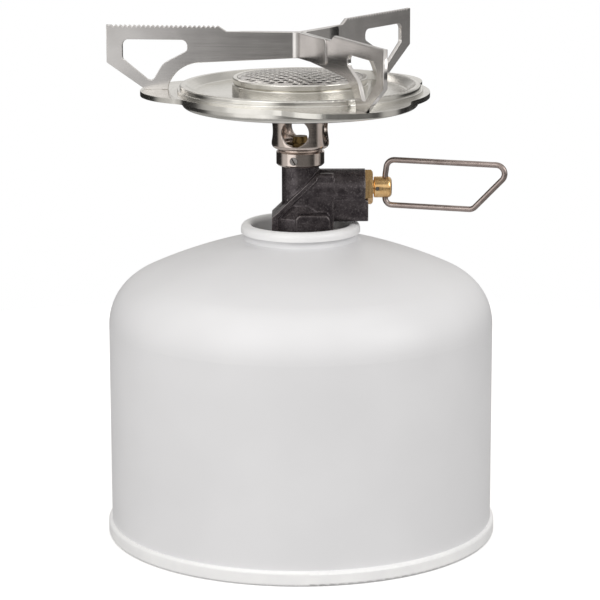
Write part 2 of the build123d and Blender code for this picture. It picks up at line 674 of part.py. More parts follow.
def clamp_ring():
    bore, bevel = TUBE_NECK_R + GAP, RING_BEVEL
    lip = Z_POST_TOP + RING_LIP_H
    ring = turned(outline(
        (RING_LIP_R, Z_POST_TOP), (RING_R - bevel, Z_POST_TOP), (RING_R, Z_POST_TOP + bevel),
        (RING_R, Z_RING_TOP - bevel), (RING_R - bevel, Z_RING_TOP), (bore, Z_RING_TOP),
        (bore, lip), (RING_LIP_R, lip),
    ))
    return ring - screw_drill(SCREW_R + GAP, TUBE_NECK_R - 0.5, RING_R + 2)


def ring_screw():
    head = RING_R + SCREW_PROUD
    screw = screw_drill(SCREW_R, SPOUT_R + GAP, head)
    slot = Pos(0, 0, Z_POST_TOP + SCREW_UP) * Rot(0, 0, SCREW_TURN) * Pos(head, 0, 0) * Rot(SCREW_SLOT_TURN, 0, 0)
    return screw - slot * Box(2 * SCREW_SLOT_DEPTH, SCREW_SLOT, 3 * SCREW_R)


def mixing_tube():
    neck_in, foot = SPOUT_R + 2 * GAP, Z_POST_TOP + RING_LIP_H
    inner, top = TUBE_R - TUBE_WALL, Z_BOWL_FLOOR + FLARE_H
    tube = turned(softened(
        [(neck_in, foot), (TUBE_NECK_R, foot), (TUBE_NECK_R, Z_TUBE), (TUBE_R, Z_TUBE),
         (TUBE_R, Z_BOWL_FLOOR), (TUBE_FLARE_R, Z_BOWL_FLOOR), (TUBE_FLARE_R, top), (inner, top),
         (inner, Z_TUBE + TUBE_FLOOR), (neck_in, Z_TUBE + TUBE_FLOOR)],
        {3: TUBE_ROUND, 7: FLARE_ROUND, 8: FLARE_MOUTH_ROUND},
    ))
    for quarter in (0, 90):
        tube -= Pos(0, 0, Z_TUBE + AIR_UP) * Rot(0, 0, AIR_TURN + quarter) * Rot(0, 90, 0) * Cylinder(
            AIR_R, 4 * TUBE_R
        )
    return tube - screw_drill(SCREW_R + GAP, SPOUT_R, RING_R)


# ---------------------------------------------------------------- burner
def burner_bowl():
    hole = TUBE_R + GAP
    return turned(softened(
        [(hole, Z_BOWL), (BOWL_R, Z_BOWL), (BOWL_R, Z_PLATE_UNDER), (BOWL_R - BOWL_SHEET, Z_PLATE_UNDER),
         (BOWL_R - BOWL_SHEET, Z_BOWL_FLOOR), (hole, Z_BOWL_FLOOR)],
        {1: BOWL_ROUND, 4: BOWL_ROUND - BOWL_SHEET},
    ))


def arm_turns():
    return [ARM_TURN + 120 * number for number in range(3)]


def burner_plate():
    shape = Circle(PLATE_R)
    for turn in arm_turns():
        shape += Rot(0, 0, turn) * Pos(EAR_OUT, 0) * Circle(EAR_R)
    face = shape.face()
    face = face.fillet_2d(EAR_BLEND, face.vertices())
    plate = Pos(0, 0, Z_PLATE_UNDER) * extrude(face, PLATE_T)
    rim = Z_PLATE + RIM_H
    plate += turned(softened(
        [(THROAT_R, Z_PLATE_UNDER), (RIM_STEP_R, Z_PLATE_UNDER), (RIM_STEP_R, Z_PLATE + RIM_STEP_H),
         (RIM_R, Z_PLATE + RIM_STEP_H), (RIM_R, rim), (RIM_R - RIM_W, rim),
         (RIM_R - RIM_W - RIM_SLOPE, Z_FLOOR), (THROAT_R, Z_FLOOR)],
        {2: RIM_STEP_ROUND, 4: RIM_ROUND, 5: RIM_ROUND, 6: RIM_FOOT_ROUND},
    ))
    plate -= rod(THROAT_R, Z_PLATE_UNDER - 1, Z_FLOOR + 1)
    length = TAB_OUT_R - TAB_IN_R + 2 * TAB_CLEAR
    for turn in arm_turns():
        plate -= Rot(0, 0, turn) * Pos((TAB_IN_R + TAB_OUT_R) / 2, ARM_T / 2, Z_PLATE) * Box(
            length, ARM_T + 2 * TAB_CLEAR, 4 * PLATE_T
        )
    return plate


def burner_cup():
    wall_in = CUP_R - CUP_RING_WALL
    seat = CUP_TOP_R - CUP_SEAT_W
    mid = Z_FLOOR + CUP_LOW_H
    return turned(softened(
        [(wall_in, Z_FLOOR), (CUP_R, Z_FLOOR), (CUP_R, mid - CUP_GROOVE_BEVEL), (CUP_R - CUP_GROOVE, mid),
         (CUP_TOP_R, mid + CUP_GROOVE_BEVEL), (CUP_TOP_R, Z_CUP_TOP), (seat, Z_CUP_TOP), (seat, Z_LEDGE),
         (seat - LEDGE_W, Z_LEDGE), (seat - LEDGE_W, Z_LEDGE - LEDGE_H), (wall_in, Z_LEDGE - LEDGE_H)],
        {2: CUP_GROOVE_ROUND, 5: CUP_RIM_OUT_ROUND, 6: CUP_RIM_IN_ROUND},
    ))


def burner_mesh():
    edge = CUP_TOP_R - CUP_SEAT_W - GAP
    rim, crown = (edge - MESH_LAND, Z_CUP_TOP + MESH_PROUD), (0, Z_CUP_TOP + MESH_CROWN)
    rim_in, crown_in = (edge - MESH_LAND_IN, Z_LEDGE), (0, crown[1] - MESH_T)
    return turned(outline(
        crown_in, crown, (cap_point(rim, crown), rim), (edge, Z_CUP_TOP), (edge, Z_LEDGE),
        rim_in, (cap_point(rim_in, crown_in), crown_in),
    ))


def gas_baffle():
    disc = rod(BAFFLE_R, Z_FLOOR, Z_FLOOR + BAFFLE_T)
    for count, reach in BAFFLE_RINGS:
        for number in range(count):
            turn = radians(360 * number / count)
            disc -= rod(BAFFLE_HOLE_R, Z_FLOOR - 1, Z_FLOOR + 2, x=reach * cos(turn), y=reach * sin(turn))
    return disc


# ---------------------------------------------------------------- pot support
def tooth_points():
    """Top edge of an arm from its outer end inwards, with one notch for each tooth."""
    top, points = ARM_RISE, []
    start = ARM_R - TOOTH_LAND
    count = int((start - STEP_OUT_R) / TOOTH_PITCH)
    for number in range(count):
        r = start - number * TOOTH_PITCH
        points += [(r, top), (r - TOOTH_W / 2, top - TOOTH_DEPTH), (r - TOOTH_W, top)]
    return points


def arm_sheet(root):
    """Outline of an arm in radius and height above the plate, from the bend outwards."""
    blank = outline(
        (root, BRIDGE_LOW), BRIDGE_SLOPE_END, (ARCH_MID, ARCH_END), (FOOT_IN_R, 0),
        (TAB_IN_R, 0), (TAB_IN_R, -TAB_DEPTH), (TAB_OUT_R, -TAB_DEPTH), (TAB_OUT_R, 0), (FOOT_OUT_R, 0),
        (ARM_R, ARM_RISE - ARM_END_H), (ARM_R, ARM_RISE), *tooth_points(),
        (STEP_OUT_R, ARM_RISE), (STEP_IN_R, BRIDGE_TOP), (root, BRIDGE_TOP),
    )
    window = softened(
        [(WINDOW_TOP_R0, WINDOW_TOP), (WINDOW_TOP_R1, WINDOW_TOP), (WINDOW_TOP_R1, WINDOW_SIDE),
         WINDOW_LOW, WINDOW_KNEE, (WINDOW_TOP_R0, WINDOW_IN)],
        WINDOW_ROUNDS,
    )
    return blank, window


def pot_arm(turn):
    """Stamped arm with a leaf bent through 60 degrees, that lies on the next arm."""
    root = BEND_R / tan(radians(60))
    blank, window = arm_sheet(root)
    sheet = extrude(Plane.XZ * blank, -ARM_T) - extrude(Plane.XZ * window, -ARM_T * 2)
    tall = BRIDGE_TOP - BRIDGE_LOW
    leaf = Pos((root + LEAF_R) / 2, -ARM_T / 2, BRIDGE_LOW + tall / 2) * Box(LEAF_R - root, ARM_T, tall)
    leaf = fillet(leaf.edges().filter_by(Axis.Y).sort_by(Axis.X)[-2:], LEAF_ROUND)
    centre, small = (root, BEND_R), BEND_R - ARM_T

    def on(radius, angle):
        return (centre[0] + radius * cos(radians(angle)), centre[1] + radius * sin(radians(angle)))

    elbow = outline(
        on(BEND_R, 210), (on(BEND_R, 240), on(BEND_R, 270)), on(small, 270), (on(small, 240), on(small, 210))
    )
    elbow = Pos(0, 0, BRIDGE_LOW) * extrude(elbow, tall)
    arm = sheet + elbow + Rot(0, 0, 120) * leaf
    return Pos(0, 0, Z_PLATE) * Rot(0, 0, turn) * arm


# ---------------------------------------------------------------- every node
PIECES = {
    "canister_shell": canister_shell, "canister_base": canister_base, "valve_cup": valve_cup,
    "cup_gasket": cup_gasket, "thread_nipple": thread_nipple, "valve_housing": valve_housing,
    "stem_gasket": stem_gasket, "valve_stem": valve_stem, "valve_spring": valve_spring,
    "valve_body": valve_body, "thread_insert": thread_insert, "face_seal": face_seal,
    "actuator_pin": actuator_pin, "gas_filter": gas_filter, "valve_seat": valve_seat,
    "spindle": spindle, "spindle_ring": spindle_ring, "gland_washer": gland_washer,
    "gland_nut": gland_nut, "hub": hub, "hub_pin": hub_pin, "wire_handle": wire_handle,
    "jet": jet, "clamp_ring": clamp_ring, "ring_screw": ring_screw, "mixing_tube": mixing_tube,
    "burner_bowl": burner_bowl, "burner_plate": burner_plate, "burner_cup": burner_cup,
    "burner_mesh": burner_mesh, "gas_baffle": gas_baffle,
}
for name, piece in PIECES.items():
    save(name, piece())
for name, turn in zip(("left", "front", "back"), arm_turns()):
    save(f"pot_arm_{name}", pot_arm(turn))
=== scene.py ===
"""Camping stove on a gas canister: finishes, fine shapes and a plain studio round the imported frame."""

from __future__ import annotations

import logging
from dataclasses import dataclass, field
from enum import Enum
from math import cos, pi, radians, sin, sqrt, tan
from typing import Any, Mapping, Optional

import bmesh
import bpy
import numpy as np
from mathutils import Matrix, Vector


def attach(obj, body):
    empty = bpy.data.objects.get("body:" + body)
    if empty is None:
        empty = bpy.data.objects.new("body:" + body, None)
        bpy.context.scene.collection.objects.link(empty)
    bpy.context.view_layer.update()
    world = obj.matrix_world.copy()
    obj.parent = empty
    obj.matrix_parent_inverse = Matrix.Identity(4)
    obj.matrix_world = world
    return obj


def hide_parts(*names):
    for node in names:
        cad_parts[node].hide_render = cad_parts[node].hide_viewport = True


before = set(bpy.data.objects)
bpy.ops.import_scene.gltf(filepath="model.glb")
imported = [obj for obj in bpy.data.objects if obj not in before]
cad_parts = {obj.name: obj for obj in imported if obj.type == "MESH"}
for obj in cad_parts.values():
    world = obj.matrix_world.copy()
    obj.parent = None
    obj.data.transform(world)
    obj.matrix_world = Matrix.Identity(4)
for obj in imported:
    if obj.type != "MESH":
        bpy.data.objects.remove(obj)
bpy.context.view_layer.update()

MM = 0.001
LOG = logging.getLogger("stove")
PLATE_TOP = 126.0  # height of the burner plate's upper face
ARM_TURNS = {"left": 173.5, "front": 293.5, "back": 53.5}  # degrees from +X of each arm

# Noise runs from 0 to 1 and is mostly near its middle, so each pattern uses a part of that span.
MARK_SPAN = (0.3, 0.7)  # fine marks, from smooth to rough
PATCH_SPAN = (0.35, 0.65)  # patches, from one colour to the other
# Sharp edges are drawn lighter: partly rubbed wear, partly a painted highlight along the ridges.
SPECK_SPAN = (0.56, 0.68)  # only the peaks become specks
EDGE_RUB_AND_HIGHLIGHT_SPAN = (0.515, 0.565)  # sharpness of an edge where the rubbed wear and painted edge highlight start and where they are full
EDGE_RUB_AND_HIGHLIGHT_SHARE = 0.55  # how much of the lighter edge colour, rubbed wear and painted highlight, shows on the sharpest edges
FINE_DETAIL = 3.0  # how many finer layers the fine marks have
FINE_FALL = 0.65  # how strongly the finest marks show against the coarse ones

FLAT_WITHIN = 0.6  # degrees between facets that count as one flat face
SHARP_FROM = 32.0  # degrees from which an edge is broken
EDGE_STEPS = 3  # facets across a rounded edge
JOIN_MM = 0.002  # points nearer than this are one
FLAT_NORMAL = 0.99  # a facet of the sheet's flat sides points at least so much across the sheet


# ---------------------------------------------------------------- finishes
class Grain(Enum):
    """Which way the fine marks of a finish run, as the share of each axis in the pattern."""

    EVERY_WAY = (1.0, 1.0, 1.0)
    ROUND_X = (1.0, 0.02, 0.02)  # lathe marks round the flame valve's axis
    ROUND_Z = (0.02, 0.02, 1.0)  # lathe marks round the upright axis
    ALONG_X = (0.02, 1.0, 1.0)  # brushed or drawn along the piece
    UPRIGHT = (1.0, 1.0, 0.02)  # drawn up the wall of a pressing
    RINGS = (1.0, 1.0, 0.0)  # spun: rings round the upright axis, the same at every height


def linear(code: str) -> tuple[float, float, float, float]:
    """Turn an sRGB hex colour to linear light.

    Args:
        code: Six hex digits.

    Returns:
        Linear red, green, blue and an alpha of 1.
    """
    parts = [int(code[i : i + 2], 16) / 255 for i in (0, 2, 4)]
    flat = [c / 12.92 if c <= 0.04045 else ((c + 0.055) / 1.055) ** 2.4 for c in parts]
    return (flat[0], flat[1], flat[2], 1.0)


def node(
    tree: bpy.types.NodeTree,
    kind: str,
    settings: Optional[Mapping[str, Any]] = None,
    links: Optional[Mapping[Any, Any]] = None,
) -> bpy.types.Node:
    """Add one node with its settings and links.

    Args:
        tree: The node tree it goes in.
        kind: Blender's name for the kind of node.
        settings: Properties to set on the node.
        links: For each input, by name or number, a value or another node's output.

    Returns:
        The new node.
    """
    made = tree.nodes.new(kind)
    for name, value in (settings or {}).items():
        setattr(made, name, value)
    for name, value in (links or {}).items():
        if isinstance(value, bpy.types.NodeSocket):
            tree.links.new(value, made.inputs[name])
        else:
            made.inputs[name].default_value = value
    return made


@dataclass(frozen=True)
class Finish:
    """What a surface is made of and how it was worked.

    Fine marks follow the grain, turned by so many degrees about the upright axis. Patches go from
    the colour to the shade, specks are pits or grit, and sharp edges take a lighter colour, partly
    rubbed wear and partly a painted highlight along the ridges.
    """

    name: str
    colour: str
    shade: str
    metallic: float
    roughness: float
    grain: Grain = Grain.EVERY_WAY
    grain_mm: float = 0.5
    relief_mm: float = 0.01
    rough_spread: float = 0.08
    patch_mm: float = 6.0
    turn: float = 0.0
    speck: str = ""
    speck_mm: float = 0.5
    speck_share: float = 0.4
    # colour of sharp edges: rubbed wear and a painted highlight
    rub_and_highlight: str = ""
    ior: float = 1.5

    def material(self) -> bpy.types.Material:
        """Build the node material, once for each finish.

        Returns:
            The material.
        """
        known = bpy.data.materials.get(self.name)
        if known is not None:
            return known
        made = bpy.data.materials.new(self.name)
        made.use_nodes = True
        tree = made.node_tree
        tree.nodes.clear()
        shader = node(tree, "ShaderNodeBsdfPrincipled", links={"Metallic": self.metallic})
        if self.metallic < 0.5:
            shader.inputs["IOR"].default_value = self.ior
        node(tree, "ShaderNodeOutputMaterial", links={"Surface": shader.outputs[0]})
        place = node(tree, "ShaderNodeTexCoord").outputs["Object"]
        marks = self._marks(tree, place)
        tree.links.new(self._tint(tree, place), shader.inputs["Base Color"])
        spread = node(tree, "ShaderNodeMapRange", links={
            "Value": marks, "From Min": MARK_SPAN[0], "From Max": MARK_SPAN[1],
            "To Min": self.roughness - self.rough_spread,
            "To Max": self.roughness + self.rough_spread,
        })
        tree.links.new(spread.outputs[0], shader.inputs["Roughness"])
        bump = node(tree, "ShaderNodeBump", links={
            "Strength": 1.0, "Distance": self.relief_mm * MM, "Height": marks,
        })
        tree.links.new(bump.outputs[0], shader.inputs["Normal"])
        return made

    def _marks(self, tree: bpy.types.NodeTree, place: bpy.types.NodeSocket) -> bpy.types.NodeSocket:
        """Draw the fine marks, from 0 to 1.

        Args:
            tree: The material's node tree.
            place: Where on the piece the surface is.

        Returns:
            The marks' height.
        """
        size = self.grain_mm * MM
        if self.grain is Grain.RINGS:
            share = (size, size, size)
        else:
            share = tuple(size / part for part in self.grain.value)
        spot = node(tree, "ShaderNodeMapping", {"vector_type": "TEXTURE"}, {
            "Vector": place, "Rotation": (0.0, 0.0, radians(self.turn)), "Scale": share,
        }).outputs[0]
        if self.grain is Grain.RINGS:
            flat = node(tree, "ShaderNodeVectorMath", {"operation": "MULTIPLY"}, {
                0: spot, 1: self.grain.value,
            })
            reach = node(tree, "ShaderNodeVectorMath", {"operation": "LENGTH"}, {0: flat.outputs[0]})
            spun = node(tree, "ShaderNodeTexNoise", {"noise_dimensions": "1D"}, {
                "W": reach.outputs["Value"], "Scale": 1.0, "Detail": FINE_DETAIL, "Roughness": FINE_FALL,
            })
            return spun.outputs[0]
        return node(tree, "ShaderNodeTexNoise", links={
            "Vector": spot, "Scale": 1.0, "Detail": FINE_DETAIL, "Roughness": FINE_FALL,
        }).outputs[0]

    def _tint(self, tree: bpy.types.NodeTree, place: bpy.types.NodeSocket) -> bpy.types.NodeSocket:
        """Vary the colour in patches, with specks and with lighter sharp edges (rubbed wear and a painted
        highlight) where the finish has them.

        Args:
            tree: The material's node tree.
            place: Where on the piece the surface is.

        Returns:
            The colour.
        """
        patch = node(tree, "ShaderNodeTexNoise", links={
            "Vector": place, "Scale": 1 / (self.patch_mm * MM), "Detail": 2.0,
        })
        blend = node(tree, "ShaderNodeMapRange", links={
            "Value": patch.outputs[0], "From Min": PATCH_SPAN[0], "From Max": PATCH_SPAN[1],
        })
        tint = node(tree, "ShaderNodeMix", {"data_type": "RGBA"}, {
            0: blend.outputs[0], 6: linear(self.colour), 7: linear(self.shade),
        }).outputs[2]
        if self.speck:
            grit = node(tree, "ShaderNodeTexNoise", links={
                "Vector": place, "Scale": 1 / (self.speck_mm * MM), "Detail": 1.0,
            })
            share = node(tree, "ShaderNodeMapRange", links={
                "Value": grit.outputs[0], "From Min": SPECK_SPAN[0], "From Max": SPECK_SPAN[1],
                "To Max": self.speck_share,
            })
            tint = node(tree, "ShaderNodeMix", {"data_type": "RGBA"}, {
                0: share.outputs[0], 6: tint, 7: linear(self.speck),
            }).outputs[2]
        # Sharp edges lighter by pointiness: partly rubbed wear, partly a painted highlight along the
        # ridges.
        if self.rub_and_highlight:
            edge = node(tree, "ShaderNodeNewGeometry").outputs["Pointiness"]
            edge_rub_and_highlight = node(tree, "ShaderNodeMapRange", links={
                "Value": edge, "From Min": EDGE_RUB_AND_HIGHLIGHT_SPAN[0], "From Max": EDGE_RUB_AND_HIGHLIGHT_SPAN[1], "To Max": EDGE_RUB_AND_HIGHLIGHT_SHARE,
            })
            tint = node(tree, "ShaderNodeMix", {"data_type": "RGBA"}, {
                0: edge_rub_and_highlight.outputs[0], 6: tint, 7: linear(self.rub_and_highlight),
            }).outputs[2]
        return tint


# Marks of the lathe, of drawing and of polishing are really under 0.1 mm apart. They are drawn
# 0.25 to 0.5 mm apart to show.

# Lacquer sprayed on drawn steel: pale, with a soft sheen and a faint orange peel about 0.8 mm across.
PALE_LACQUER = Finish(
    "pale_lacquer_sprayed", "e6e6e8", "e2e2e4", 0.0, 0.42,
    grain_mm=0.8, relief_mm=0.001, rough_spread=0.04, patch_mm=30.0, ior=1.45,
)
# Tinplate, pressed and lacquered white: pale and satin, with faint marks round the pressed parts.
TINPLATE = Finish(
    "tinplate_pressed", "f8f8f8", "f2f2f3", 0.0, 0.4, Grain.ROUND_Z,
    grain_mm=0.35, relief_mm=0.002, patch_mm=9.0,
)
# Zinc die casting, black dipped: satin near black, a fine cast grain, and edges lighter, partly rubbed
# wear and partly a painted highlight along the ridges.
BLACK_CASTING = Finish(
    "zinc_casting_black_dipped", "554f51", "342e31", 0.6, 0.3,
    grain_mm=0.55, relief_mm=0.05, rough_spread=0.1, patch_mm=3.0,
    speck="8a8485", speck_mm=0.45, speck_share=0.35, rub_and_highlight="b5adab",
)
# Brass, turned on a lathe: warm yellow with fine rings. The pieces on the upright axis are duller.
BRASS_VALVE = Finish(
    "brass_turned_valve", "f2cd95", "e6b97e", 1.0, 0.24, Grain.ROUND_X,
    grain_mm=0.3, relief_mm=0.003, patch_mm=2.5,
)
BRASS_UPRIGHT = Finish(
    "brass_turned_upright", "c3ad88", "a98d62", 1.0, 0.34, Grain.ROUND_Z,
    grain_mm=0.3, relief_mm=0.006, patch_mm=2.5,
)
# Brass, turned and stained by heat: brown and dull, with the same fine rings.
BRASS_STAINED = Finish(
    "brass_stained_upright", "8d7650", "66532f", 1.0, 0.42, Grain.ROUND_Z,
    grain_mm=0.3, relief_mm=0.006, patch_mm=2.0,
)
# Stainless wire, drawn: warm grey with streaks along it.
DRAWN_WIRE = Finish(
    "stainless_wire_drawn", "a79b96", "978a85", 1.0, 0.34, Grain.ALONG_X,
    grain_mm=0.4, relief_mm=0.001, rough_spread=0.05, patch_mm=3.0, turn=-18.0,
)
# Stainless tube and ring, turned and polished: crisp light and dark bands with faint rings.
TURNED_STEEL = Finish(
    "stainless_turned_polished", "d9cdc6", "cfc3bb", 1.0, 0.16, Grain.ROUND_Z,
    grain_mm=0.35, relief_mm=0.001, rough_spread=0.05, patch_mm=4.0,
)
# Stainless sheet, pressed and tumbled: a soft pale sheen with faint rings from the press tool.
PRESSED_STEEL = Finish(
    "stainless_pressed_satin", "dad8d3", "cdcbc5", 1.0, 0.2, Grain.RINGS,
    grain_mm=0.5, relief_mm=0.001, rough_spread=0.05, patch_mm=8.0,
)
# Stainless ring, spun bright: close to white with fine rings.
BRIGHT_RING = Finish(
    "stainless_spun_bright", "e3e1dc", "d5d3cd", 1.0, 0.2, Grain.RINGS,
    grain_mm=0.4, relief_mm=0.001, rough_spread=0.05, patch_mm=6.0,
)
# Perforated stainless: a soft grey sheen, duller in patches where the flame has heated it.
PERFORATED_STEEL = Finish(
    "stainless_perforated", "dbd8d4", "c6c3c1", 1.0, 0.3,
    grain_mm=0.5, relief_mm=0.002, patch_mm=4.0,
)
# Spring steel, drawn and oiled: dark grey with a low sheen.
SPRING_STEEL = Finish(
    "spring_steel_drawn", "8d8a88", "75716f", 1.0, 0.34, Grain.UPRIGHT,
    grain_mm=0.25, relief_mm=0.004, patch_mm=1.5,
)
# Stainless sheet browned by heat and darkened further as painted shade for the hollow under the dome:
# dark and dull, in patches of brown and blue grey.
HEAT_BROWNED_AND_SHADED_STEEL = Finish(
    "stainless_heat_browned_painted_shade", "4a433c", "3a3a42", 1.0, 0.48,
    grain_mm=0.5, relief_mm=0.004, patch_mm=5.0,
)
# Nitrile rubber, moulded: matt near black with a bloom of fine powder.
NITRILE = Finish(
    "nitrile_rubber_moulded", "1f1f20", "2b2b2c", 0.0, 0.62,
    grain_mm=0.3, relief_mm=0.01, patch_mm=1.5,
    speck="3c3c3d", speck_mm=0.3, speck_share=0.3, ior=1.52,
)
# Acetal, moulded: milky white plastic with a slight sheen and faint flow marks.
ACETAL = Finish(
    "acetal_moulded", "e8e6df", "dedbd2", 0.0, 0.38, Grain.UPRIGHT,
    grain_mm=0.6, relief_mm=0.003, patch_mm=3.0, ior=1.48,
)
# Bronze, sintered: grains 0.3 mm across with dark pores between them.
SINTERED = Finish(
    "bronze_sintered", "a77f4c", "8a6538", 1.0, 0.5, grain_mm=0.3, relief_mm=0.06, patch_mm=0.8,
    speck="3b2a18", speck_mm=0.3, speck_share=0.8,
)


def brushed(turn: float, name: str) -> Finish:
    """Stainless sheet, rolled and stamped: pale grey with a grain along the sheet.

    Args:
        turn: Degrees from +X that the grain runs.
        name: Which arm it dresses.

    Returns:
        The finish. Rolling lines are under 0.1 mm apart and are drawn 0.4 mm apart to show.
    """
    return Finish(
        f"stainless_sheet_rolled_{name}", "dcd9d7", "d0cdcb", 1.0, 0.19, Grain.ALONG_X,
        grain_mm=0.4, relief_mm=0.0003, rough_spread=0.03, patch_mm=9.0, turn=turn,
    )


# ---------------------------------------------------------------- shaping
def shown(mesh: bpy.types.Mesh, name: str) -> bpy.types.Object:
    """Put a mesh in the scene as a piece.

    Args:
        mesh: The piece's mesh.
        name: The piece's name.

    Returns:
        The new object.
    """
    made = bpy.data.objects.new(name, mesh)
    bpy.context.scene.collection.objects.link(made)
    return made


def settled(piece: bpy.types.Object) -> bpy.types.Object:
    """Apply a piece's modifiers to its mesh.

    Args:
        piece: The object.

    Returns:
        The same object with its final mesh.
    """
    bpy.context.view_layer.update()
    seen = piece.evaluated_get(bpy.context.evaluated_depsgraph_get())
    final = bpy.data.meshes.new_from_object(seen)
    piece.modifiers.clear()
    piece.data = final
    return piece


def arc(
    start: tuple[float, float], middle: tuple[float, float], end: tuple[float, float], steps: int = 10
) -> list[tuple[float, float]]:
    """Points on the round through three points, after the start.

    Args:
        start: First point.
        middle: A point on the way.
        end: Last point.
        steps: How many points to give.

    Returns:
        The points, with the last one.
    """
    a, b, c = (complex(*p) for p in (start, middle, end))
    w = (c - a) / (b - a)
    centre = (b - a) * (w - abs(w) ** 2) / (2j * w.imag) + a
    first, last = (a - centre), (c - centre)
    turn = np.angle(last / first)
    points = [centre + first * np.exp(1j * turn * k / steps) for k in range(1, steps + 1)]
    return [(point.real, point.imag) for point in points]


def rounded(corners: list[tuple[float, float, float]], steps: int = 6) -> list[tuple[float, float]]:
    """Round each corner of a closed outline by its own radius.

    Args:
        corners: Two coordinates and a radius for each corner.
        steps: Points on each round.

    Returns:
        The outline's points.
    """
    line: list[tuple[float, float]] = []
    count = len(corners)
    for number, (x, y, radius) in enumerate(corners):
        here = Vector((x, y))
        back = (Vector(corners[number - 1][:2]) - here).normalized()
        on = (Vector(corners[(number + 1) % count][:2]) - here).normalized()
        half = back.angle(on) / 2
        middle = here + (back + on).normalized() * radius / sin(half)
        first, last = here + back * radius / tan(half), here + on * radius / tan(half)
        for k in range(steps + 1):
            way = (first - middle).lerp(last - middle, k / steps).normalized()
            line.append(tuple(middle + way * radius))
    return line


def clean_copy(source: str) -> bmesh.types.BMesh:
    """Copy a CAD node with its split edges joined.

    Args:
        source: The CAD node's name.

    Returns:
        The editable mesh.
    """
    shape = bmesh.new()
    shape.from_mesh(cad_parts[source].data)
    bmesh.ops.remove_doubles(shape, verts=shape.verts, dist=JOIN_MM * MM)
    return shape


def eased(source: str, width_mm: float, name: str, flat: bool = True) -> bpy.types.Object:
    """Break the sharp edges of a CAD node's shape, as tumbling or a file does.

    Args:
        source: The CAD node's name.
        width_mm: Width of the rounded edge.
        name: The new piece's name.
        flat: Whether flat faces are joined first.

    Returns:
        The new piece.
    """
    shape = clean_copy(source)
    if flat:
        bmesh.ops.dissolve_limit(
            shape, angle_limit=radians(FLAT_WITHIN), use_dissolve_boundaries=False,
            verts=shape.verts, edges=shape.edges,
        )
    mesh = bpy.data.meshes.new(name)
    shape.to_mesh(mesh)
    shape.free()
    mesh.shade_smooth()
    piece = shown(mesh, name)
    round_edges = piece.modifiers.new("edges", "BEVEL")
    round_edges.width = width_mm * MM
    round_edges.segments = EDGE_STEPS
    round_edges.limit_method = "ANGLE"
    round_edges.angle_limit = radians(SHARP_FROM)
    weight = piece.modifiers.new("weight", "WEIGHTED_NORMAL")
    weight.keep_sharp = True
    return settled(piece)


def cast_copy(source: str, name: str, cell_mm: float, passes: int) -> bpy.types.Object:
    """Soften a CAD node's shape all over, as a casting comes from its mould.

    Args:
        source: The CAD node's name.
        name: The new piece's name.
        cell_mm: Size of the mesh's cells.
        passes: How many times it is smoothed.

    Returns:
        The new piece.
    """
    shape = clean_copy(source)
    mesh = bpy.data.meshes.new(name)
    shape.to_mesh(mesh)
    shape.free()
    piece = shown(mesh, name)
    cells = piece.modifiers.new("cells", "REMESH")
    cells.mode = "VOXEL"
    cells.voxel_size = cell_mm * MM
    cells.use_smooth_shade = True
    soft = piece.modifiers.new("soft", "SMOOTH")
    soft.factor = 0.5
    soft.iterations = passes
    return settled(piece)


def ready(
    piece: bpy.types.Object, finish: Finish, body: str, slot: str, *nodes: str
) -> bpy.types.Object:
    """Dress a piece, set it on its body and hide the CAD nodes it stands for.

    Args:
        piece: The new piece.
        finish: Its finish.
        body: The CAD body it rides on.
        slot: The record's material slot; not used.
        *nodes: CAD nodes it replaces.

    Returns:
        The piece.
    """
    piece.data.materials.clear()
    piece.data.materials.append(finish.material())
    piece.data.shade_smooth()
    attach(piece, body)
    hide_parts(*nodes)
    LOG.info("%s: %d faces, rides on %s", piece.name, len(piece.data.polygons), body)
    return piece


def carried(source: str, finish: Finish) -> None:
    """Give a CAD node that is shown as it is its real finish.

    Args:
        source: The CAD node's name.
        finish: Its finish.
    """
    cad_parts[source].material_slots[0].material = finish.material()
    LOG.info("%s: shown as it is, in %s", source, finish.name)


# ---------------------------------------------------------------- sub-assemblies
@dataclass
class Canister:
    """Gas canister with its valve."""

    finishes: dict[str, Finish] = field(default_factory=lambda: {
        "canister_shell": PALE_LACQUER, "canister_base": TINPLATE, "valve_cup": TINPLATE,
        "thread_nipple": TINPLATE, "cup_gasket": NITRILE, "valve_housing": ACETAL,
        "stem_gasket": NITRILE, "valve_spring": SPRING_STEEL, "valve_stem": ACETAL,
    })

    def build(self) -> None:
        """Dress every piece of the canister."""
        for source, finish in self.finishes.items():
            carried(source, finish)


@dataclass
class ValveBlock:
    """Cast body with the brass thread insert and the gas path."""

    cell_mm: float = 0.19
    passes: int = 3
    insert_edge_mm: float = 0.15

    def build(self) -> None:
        """Make the casting and dress the pieces in it."""
        body = cast_copy("valve_body", "cast_body", self.cell_mm, self.passes)
        ready(body, BLACK_CASTING, "stove", "black_casting", "valve_body")
        insert = eased("thread_insert", self.insert_edge_mm, "insert_turned")
        ready(insert, BRASS_UPRIGHT, "stove", "brass", "thread_insert")
        carried("face_seal", NITRILE)
        carried("actuator_pin", BRASS_UPRIGHT)
        carried("gas_filter", SINTERED)


@dataclass
class FlameControl:
    """Needle valve with its gland, hub and folding wire handle."""

    nut_edge_mm: float = 0.16
    hub_edge_mm: float = 0.12

    def build(self) -> None:
        """Make the gland nut and the hub, and dress the rest."""
        nut = eased("gland_nut", self.nut_edge_mm, "gland_nut_turned")
        ready(nut, BRASS_VALVE, "stove", "brass", "gland_nut")
        hub = eased("hub", self.hub_edge_mm, "hub_turned", flat=False)
        ready(hub, BRASS_VALVE, "knob", "brass", "hub")
        for source in ("valve_seat", "gland_washer", "spindle"):
            carried(source, BRASS_VALVE)
        carried("spindle_ring", NITRILE)
        carried("hub_pin", SPRING_STEEL)
        carried("wire_handle", DRAWN_WIRE)


